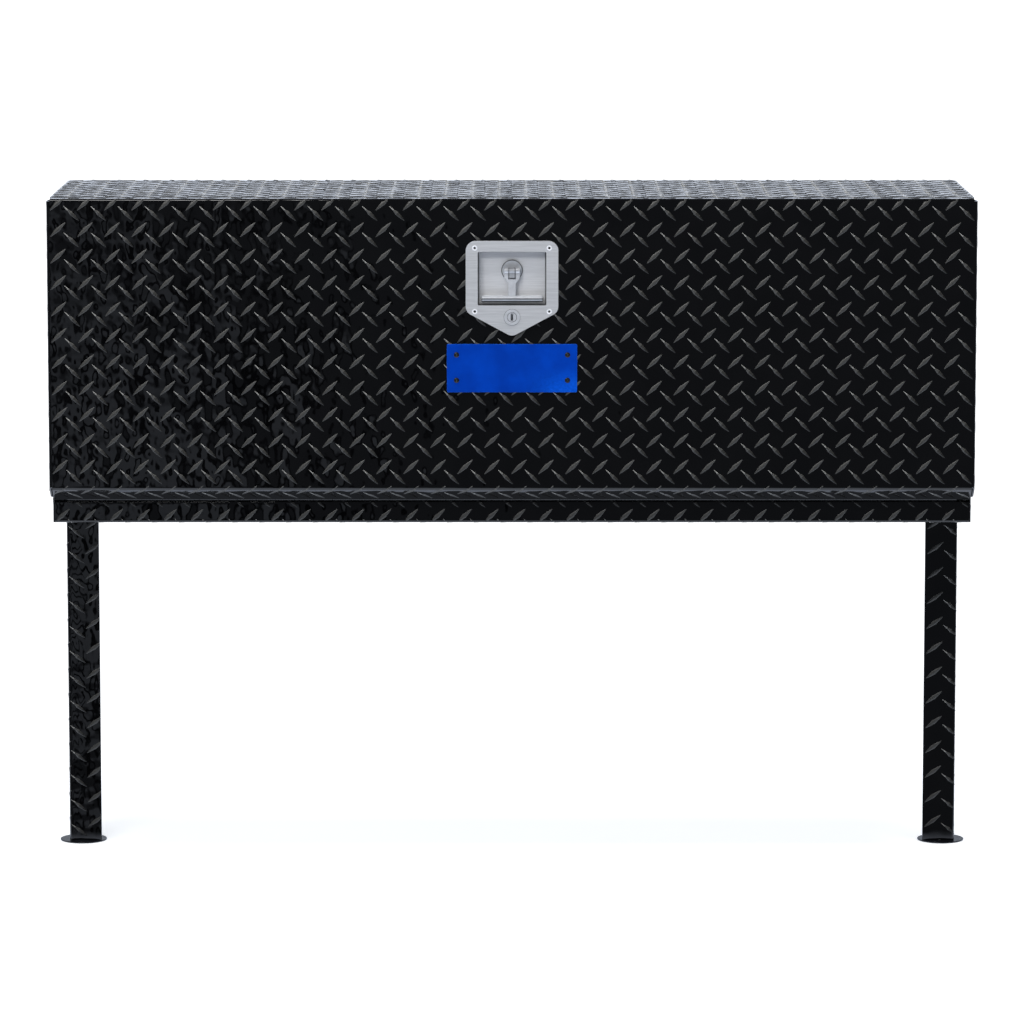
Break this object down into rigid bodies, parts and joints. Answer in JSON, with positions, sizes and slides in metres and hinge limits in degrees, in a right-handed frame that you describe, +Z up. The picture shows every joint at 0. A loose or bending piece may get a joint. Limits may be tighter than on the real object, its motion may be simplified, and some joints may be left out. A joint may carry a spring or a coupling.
{
  "type": "topside truck tool box",
  "caption": "Long black tread-plate tool box on bolt-down legs, with a drop-down front door, check stays and a recessed folding T-handle latch with lock.",
  "frame": {"origin": "on the floor under the middle of the box, at the height of the foot plates' undersides", "axes": "+Z up, -Y towards the door, +X to the right as seen from the front"},
  "size_m": [1.2398, 0.3482, 0.9004],
  "materials": {
    "black_tread": "gloss black powder coat over aluminium tread plate",
    "black_sheet": "smooth black powder coat over aluminium sheet",
    "black_rivet": "black coated blind rivets",
    "bare_rivet": "bare aluminium blind rivets",
    "stainless": "brushed stainless steel",
    "black_steel": "steel hinge leaves coated black with the box",
    "zinc_steel": "bright zinc plated steel",
    "black_rubber": "black sponge rubber",
    "white_nylon": "natural nylon",
    "badge_blue": "blue anodised aluminium, bare of any marks"
  },
  "bodies": {
    "box_body": {"body_shell": "black_tread", "right_end_panel": "black_tread", "left_end_panel": "black_tread", "right_leg": "black_tread", "left_leg": "black_tread", "right_leg_cap": "black_sheet", "left_leg_cap": "black_sheet", "right_foot": "black_sheet", "left_foot": "black_sheet", "stay_body_brackets": "black_sheet", "strike_plate": "black_sheet", "stay_bracket_rivets": "black_rivet", "strike_rivets": "black_rivet", "hinge_body_rivets": "bare_rivet", "hinge_pin": "stainless", "hinge_body_leaf": "black_steel", "leg_bolts": "zinc_steel", "leg_washers": "zinc_steel", "leg_nuts": "zinc_steel", "stay_body_pins": "zinc_steel", "weather_strip": "black_rubber", "wire_plugs": "black_rubber"},
    "door": {"door_skin": "black_tread", "door_liner": "black_sheet", "door_stiffeners": "black_sheet", "liner_rivets": "black_rivet", "hinge_door_leaf": "black_steel", "hinge_door_rivets": "bare_rivet", "latch_plate": "stainless", "latch_gasket": "black_rubber", "latch_rivets": "bare_rivet", "handle_hub": "stainless", "hub_nut": "zinc_steel", "handle_pin": "stainless", "shaft_bush": "white_nylon", "lock_cylinder": "zinc_steel", "lock_nut": "zinc_steel", "badge_plate": "badge_blue", "badge_rivets": "black_rivet", "stay_door_brackets": "black_sheet", "stay_door_pins": "zinc_steel", "stay_door_rivets": "black_rivet"},
    "t_handle": {"t_handle": "stainless"},
    "latch": {"latch_shaft": "zinc_steel", "latch_cam": "zinc_steel", "cam_washer": "zinc_steel", "cam_nut": "zinc_steel"},
    "lock_plug": {"lock_plug": "zinc_steel", "lock_tail": "zinc_steel"},
    "right_stay": {"right_stay": "zinc_steel"},
    "left_stay": {"left_stay": "zinc_steel"}
  },
  "joints": [
    {"name": "door_swing", "type": "hinge", "parent": "box_body", "child": "door", "pos_m": [0, -0.1396, 0.50102], "axis": [1, 0, 0], "range_deg": [0, 90]},
    {"name": "handle_fold", "type": "hinge", "parent": "door", "child": "t_handle", "pos_m": [0, -0.1658, 0.8052], "axis": [-1, 0, 0], "range_deg": [0, 90]},
    {"name": "latch_turn", "type": "hinge", "parent": "door", "child": "latch", "pos_m": [0, -0.14, 0.8052], "axis": [0, -1, 0], "range_deg": [0, 90]},
    {"name": "key_turn", "type": "hinge", "parent": "door", "child": "lock_plug", "pos_m": [0, -0.16, 0.7447], "axis": [0, -1, 0], "range_deg": [0, 90]},
    {"name": "right_stay_pivot", "type": "hinge", "parent": "door", "child": "right_stay", "pos_m": [0.5615, -0.11947, 0.66982], "axis": [1, 0, 0], "range_deg": [-45, 0]},
    {"name": "left_stay_pivot", "type": "hinge", "parent": "door", "child": "left_stay", "pos_m": [-0.5615, -0.11947, 0.66982], "axis": [1, 0, 0], "range_deg": [-45, 0]}
  ],
  "couplings": [
    {"joint": "right_stay_pivot", "follows": "door_swing", "ratio": -0.5},
    {"joint": "left_stay_pivot", "follows": "door_swing", "ratio": -0.5}
  ]
}
